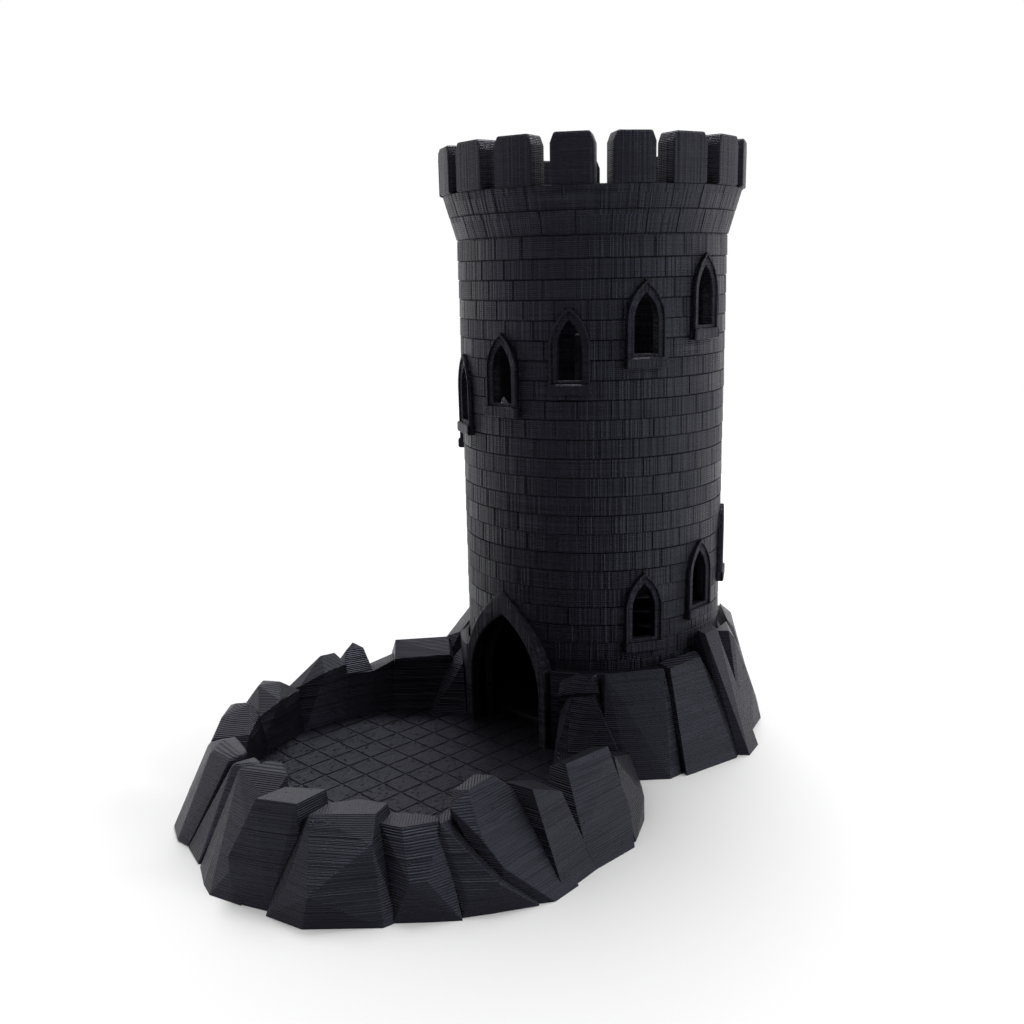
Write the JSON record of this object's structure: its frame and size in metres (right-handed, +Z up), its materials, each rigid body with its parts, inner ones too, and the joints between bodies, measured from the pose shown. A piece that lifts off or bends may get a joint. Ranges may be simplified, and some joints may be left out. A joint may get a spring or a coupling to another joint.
{
  "type": "dice tower",
  "caption": "Castle dice tower: a round brick tower with a spiral stair inside, standing in a rock base with a round rock-rimmed dice tray.",
  "frame": {"origin": "on the tower's axis, on the flat underside that the base rests on", "axes": "+Z up along the tower's axis; the door and the tray face -Y"},
  "size_m": [0.1599, 0.2394, 0.2001],
  "materials": {
    "brick_print": "satin black printed plastic with fine layer lines",
    "rock_print": "satin black printed plastic with fine layer lines",
    "flagstone_print": "satin black printed plastic, coarse top layer",
    "stair_print": "satin black printed plastic with fine layer lines"
  },
  "bodies": {
    "base": {"tray_floor": "flagstone_print", "tower_socket": "rock_print", "rim_rock_01": "rock_print", "rim_rock_02": "rock_print", "rim_rock_03": "rock_print", "rim_rock_04": "rock_print", "rim_rock_05": "rock_print", "rim_rock_06": "rock_print", "rim_rock_07": "rock_print", "rim_rock_08": "rock_print", "rim_rock_09": "rock_print", "rim_rock_10": "rock_print", "rim_rock_11": "rock_print", "rim_rock_12": "rock_print", "rim_rock_13": "rock_print", "rim_rock_14": "rock_print", "rim_rock_15": "rock_print", "rim_rock_16": "rock_print", "rim_rock_17": "rock_print", "skirt_rock_01": "rock_print", "skirt_rock_02": "rock_print", "skirt_rock_03": "rock_print", "skirt_rock_04": "rock_print", "skirt_rock_05": "rock_print", "skirt_rock_06": "rock_print", "skirt_rock_07": "rock_print", "skirt_rock_08": "rock_print", "skirt_rock_09": "rock_print", "skirt_rock_10": "rock_print", "gate_rock_left": "rock_print", "gate_rock_right": "rock_print", "gate_boulder": "rock_print", "gate_ledge": "rock_print", "gate_stone": "rock_print"},
    "tower": {"shaft": "brick_print", "corbel": "brick_print", "merlons": "brick_print", "door_portal": "brick_print", "window_surrounds": "brick_print"},
    "stair": {"stair_foot": "stair_print", "newel_post": "stair_print", "stair_flight_1": "stair_print", "stair_flight_2": "stair_print", "stair_flight_3": "stair_print", "stair_flight_4": "stair_print", "stair_flight_5": "stair_print", "stair_flight_6": "stair_print", "stair_flight_7": "stair_print", "stair_flight_8": "stair_print"}
  },
  "joints": [
    {"name": "tower_lift", "type": "slide", "parent": "base", "child": "tower", "axis": [0, 0, 1], "range_m": [0, 0.22]},
    {"name": "stair_lift", "type": "slide", "parent": "base", "child": "stair", "axis": [0, 0, 1], "range_m": [0, 0.22]}
  ]
}
